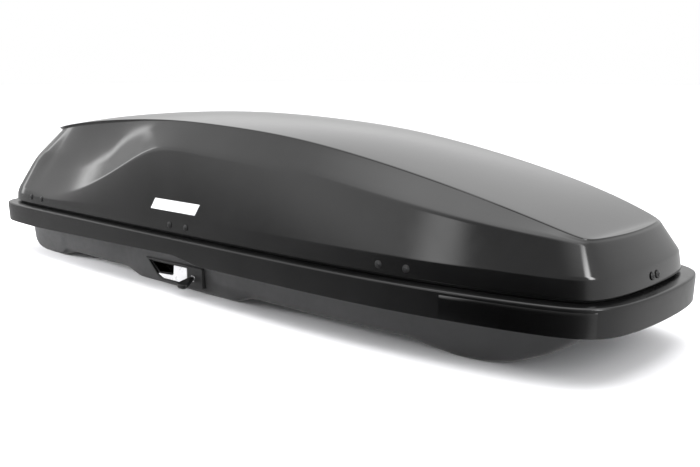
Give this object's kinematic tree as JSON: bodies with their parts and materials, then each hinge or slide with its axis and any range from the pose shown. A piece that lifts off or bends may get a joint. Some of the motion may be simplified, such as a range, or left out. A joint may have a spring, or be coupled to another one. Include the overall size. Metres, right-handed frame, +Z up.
{
  "type": "roof cargo box",
  "caption": "Long low roof cargo box for a car: flanged tub, hinged lid with a crisp top edge and a rear lip, sprung side handle, key lock and sliding lock bar.",
  "frame": {"origin": "middle of the footprint, level with the lowest faces of the tub", "axes": "+X to the nose, +Y to the hinge side (left), +Z up"},
  "size_m": [2.0123, 0.63, 0.4308],
  "materials": {
    "tub_matte": "matt grained",
    "lid_gloss": "satin gloss",
    "trim_gloss": "high gloss",
    "bezel_dark": "fine matt",
    "rubber": "matt",
    "steel": "zinc plated",
    "zinc_bar": "zinc plated",
    "rivet_dark": "satin",
    "aluminium": "mill",
    "badge_white": "satin",
    "handle_silver": "silver satin",
    "nickel": "polished nickel",
    "key_black": "matt"
  },
  "bodies": {
    "tub": {"base_shell": "tub_matte", "rim_seal": "rubber", "nose_trim_right": "trim_gloss", "nose_trim_left": "trim_gloss", "nose_socket": "bezel_dark", "floor_plate_front": "steel", "floor_plate_rear": "steel", "hinge_base_front": "steel", "hinge_base_mid": "steel", "hinge_base_rear": "steel", "hinge_pin_front": "steel", "hinge_pin_mid": "steel", "hinge_pin_rear": "steel", "bar_guide_front": "steel", "bar_guide_mid": "steel", "bar_guide_rear": "steel", "handle_bezel": "bezel_dark", "finger_pocket": "trim_gloss", "lock_plate": "bezel_dark", "handle_pin": "steel"},
    "lid": {"lid_shell": "lid_gloss", "striker_front": "steel", "striker_mid": "steel", "striker_rear": "steel", "hinge_leaf_front": "steel", "hinge_leaf_mid": "steel", "hinge_leaf_rear": "steel", "nose_guide": "steel", "rivet_right_front_a": "rivet_dark", "rivet_right_front_b": "rivet_dark", "rivet_right_mid_a": "rivet_dark", "rivet_right_mid_b": "rivet_dark", "rivet_right_rear_a": "rivet_dark", "rivet_right_rear_b": "rivet_dark", "rivet_left_front_a": "rivet_dark", "rivet_left_front_b": "rivet_dark", "rivet_left_mid_a": "rivet_dark", "rivet_left_mid_b": "rivet_dark", "rivet_left_rear_a": "rivet_dark", "rivet_left_rear_b": "rivet_dark", "rivet_nose_a": "rivet_dark", "rivet_nose_b": "rivet_dark", "lid_stiffener_front": "aluminium", "lid_stiffener_rear": "aluminium", "side_badge_right": "badge_white", "side_badge_left": "badge_white"},
    "handle": {"pull_handle": "handle_silver"},
    "lock": {"lock_cylinder": "nickel", "lock_key": "key_black", "lock_crank": "steel"},
    "bar": {"lock_bar": "zinc_bar", "latch_tab_front": "steel", "latch_tab_mid": "steel", "latch_tab_rear": "steel"}
  },
  "joints": [
    {"name": "lid_hinge", "type": "hinge", "parent": "tub", "child": "lid", "pos_m": [0, 0.2835, 0.1525], "axis": [-1, 0, 0], "range_deg": [0, 60]},
    {"name": "handle_pull", "type": "hinge", "parent": "tub", "child": "handle", "pos_m": [-0.109, -0.2425, 0.038], "axis": [0, 0, 1], "range_deg": [0, 25], "stiffness_Nm_per_rad": 0.4, "springref_deg": -5.73},
    {"name": "lock_turn", "type": "hinge", "parent": "tub", "child": "lock", "pos_m": [-0.0715, -0.25, 0.039], "axis": [0, 1, 0], "range_deg": [0, 90]},
    {"name": "bar_slide", "type": "slide", "parent": "tub", "child": "bar", "axis": [1, 0, 0], "range_m": [0, 0.016]}
  ],
  "couplings": [
    {"joint": "lock_turn", "follows": "bar_slide", "rad_per_m": 98.17}
  ]
}
